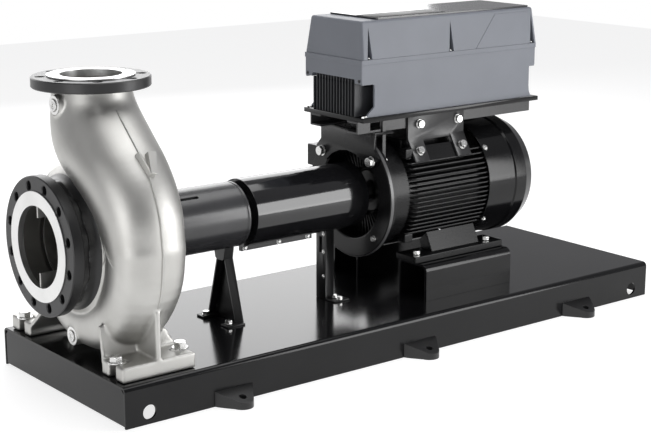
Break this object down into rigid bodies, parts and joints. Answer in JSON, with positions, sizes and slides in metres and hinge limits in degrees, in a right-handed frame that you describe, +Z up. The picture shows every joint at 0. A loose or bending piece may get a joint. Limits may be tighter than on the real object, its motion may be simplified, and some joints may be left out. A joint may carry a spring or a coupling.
{
  "type": "centrifugal pump",
  "caption": "Long-coupled end-suction centrifugal pump with a flange-and-foot motor and its drive on a folded steel base frame.",
  "frame": {"origin": "centre of the bounding box on the floor", "axes": "+Z up, +X along the shaft from the suction flange towards the motor, +Y to the far side"},
  "size_m": [1.849, 0.728, 0.868],
  "materials": {
    "stainless_casting": "satin glass-bead blasted stainless casting",
    "turned_steel": "turned and ground steel",
    "black_casting": "satin black paint on iron casting",
    "grey_casting": "dark grey paint on iron casting",
    "black_sheet": "glossy black powder coat on folded steel sheet",
    "drive_grey": "satin blue-grey paint",
    "heat_sink_grey": "dark grey coated aluminium",
    "black_plastic": "moulded black plastic"
  },
  "bodies": {
    "pump_set": {"base_deck": "black_sheet", "base_front_panel": "black_sheet", "base_rear_panel": "black_sheet", "volute_casing": "stainless_casting", "suction_flange": "black_casting", "discharge_flange": "black_casting", "neck_plug": "stainless_casting", "drain_plug": "stainless_casting", "casing_cover": "grey_casting", "bearing_bracket": "grey_casting", "bracket_leg": "black_sheet", "coupling_guard": "black_sheet", "guard_post": "black_sheet", "motor_flange": "black_casting", "motor_housing": "black_casting", "motor_foot_near": "black_casting", "motor_foot_far": "black_casting", "motor_rail_near": "black_sheet", "motor_rail_far": "black_sheet", "fan_cover": "black_sheet", "drive_front_bracket": "black_sheet", "drive_channel_near": "black_sheet", "drive_channel_far": "black_sheet", "saddle_bracket_near": "black_sheet", "saddle_bracket_far": "black_sheet", "drive_mounting_plate": "black_sheet", "drive_heat_sink": "heat_sink_grey", "drive_body": "drive_grey", "drive_lid": "drive_grey", "control_panel": "black_plastic", "anchor_tab_near_front": "black_sheet", "anchor_tab_near_middle": "black_sheet", "anchor_tab_near_rear": "black_sheet", "anchor_tab_far_front": "black_sheet", "anchor_tab_far_middle": "black_sheet", "anchor_tab_far_rear": "black_sheet"},
    "rotor": {"impeller": "stainless_casting", "impeller_nut": "stainless_casting", "pump_shaft": "turned_steel", "shaft_coupling": "grey_casting", "motor_shaft": "turned_steel", "motor_fan": "black_plastic"}
  },
  "joints": [
    {"name": "rotor_spin", "type": "hinge", "parent": "pump_set", "child": "rotor", "pos_m": [-0.7645, 0, 0.38], "axis": [1, 0, 0], "continuous": true}
  ]
}
